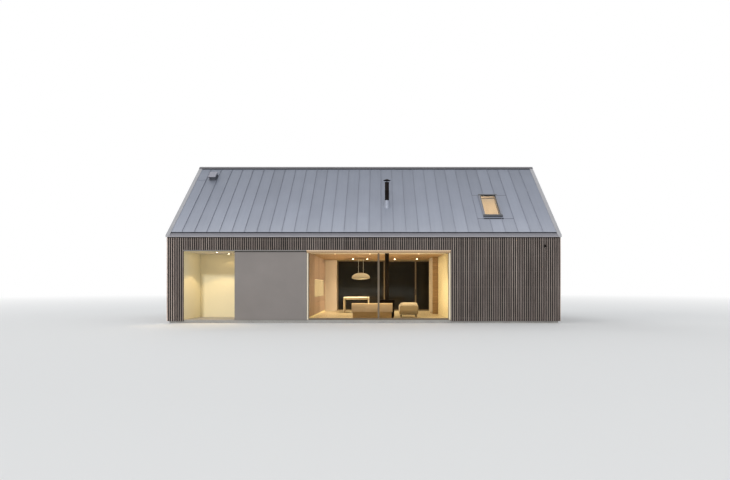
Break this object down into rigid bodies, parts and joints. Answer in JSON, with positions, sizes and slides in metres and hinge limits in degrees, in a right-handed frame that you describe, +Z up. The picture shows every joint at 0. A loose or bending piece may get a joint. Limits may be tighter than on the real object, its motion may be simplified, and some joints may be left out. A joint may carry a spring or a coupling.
{
  "type": "modern barn-type house",
  "caption": "Modern one-storey house with attic: batten-clad walls, steep standing seam roof, recessed lit porch and a wide glazed living room with its furniture.",
  "frame": {"origin": "on the ground, under the middle of the house's bounding box", "axes": "+X along the facade to the right, the facade looks towards -Y, +Z is up"},
  "size_m": [15.27, 7.2, 6.9022],
  "materials": {
    "concrete": "smooth concrete plinth and floor",
    "masonry": "plastered masonry",
    "grey_plaster": "fine matt plaster",
    "cream_plaster": "fine matt plaster",
    "ceiling_plaster": "smooth matt plaster",
    "wood_lining": "satin oiled veneer",
    "door_wood": "satin oiled boards",
    "batten_wood": "weathered, uncoated",
    "trim_metal": "matt coated sheet",
    "window_frame": "satin powder coat",
    "window_glass": "clear",
    "roof_deck": "boarded deck with insulation",
    "roof_zinc": "matt zinc-grey sheet",
    "roof_window_metal": "matt dark grey",
    "black_steel": "matt black heat paint",
    "cabinet_wood": "satin lacquered",
    "table_wood": "satin oiled",
    "lamp_shade": "translucent ribbed shade",
    "upholstery": "woven wool",
    "lamp_light": "frosted diffuser"
  },
  "bodies": {
    "root": {"armchair": "upholstery", "attic_floor": "ceiling_plaster", "cladding_front": "batten_wood", "cladding_gable_left": "batten_wood", "cladding_gable_right": "batten_wood", "cladding_rear": "batten_wood", "dining_table": "table_wood", "downlights": "lamp_light", "eave_front": "trim_metal", "eave_rear": "trim_metal", "entrance_door": "door_wood", "floor_slab": "concrete", "flue_collar": "roof_zinc", "flue_pipe": "black_steel", "front_lintel": "masonry", "front_wall_middle": "grey_plaster", "front_wall_right": "masonry", "front_window_frame": "window_frame", "front_window_glass": "window_glass", "gable_wall_left": "masonry", "gable_wall_right": "masonry", "living_left_wall": "wood_lining", "living_right_wall": "cream_plaster", "low_cabinet": "cabinet_wood", "opening_trim": "trim_metal", "pendant_lamp": "lamp_shade", "porch_back_wall": "cream_plaster", "porch_left_wall": "cream_plaster", "porch_right_wall": "cream_plaster", "rear_lintel": "masonry", "rear_wall_left": "masonry", "rear_wall_right": "masonry", "rear_window_frame": "window_frame", "rear_window_glass": "window_glass", "ridge_cap": "roof_zinc", "roof_deck_front": "roof_deck", "roof_deck_rear": "roof_deck", "roof_sheet_front": "roof_zinc", "roof_sheet_rear": "roof_zinc", "roof_vent": "roof_zinc", "roof_window_frame": "roof_window_metal", "roof_window_glass": "window_glass", "stove": "black_steel", "tall_cupboard": "wood_lining", "verge_left": "trim_metal", "verge_right": "trim_metal", "wall_lamp": "black_steel"}
  },
  "joints": []
}
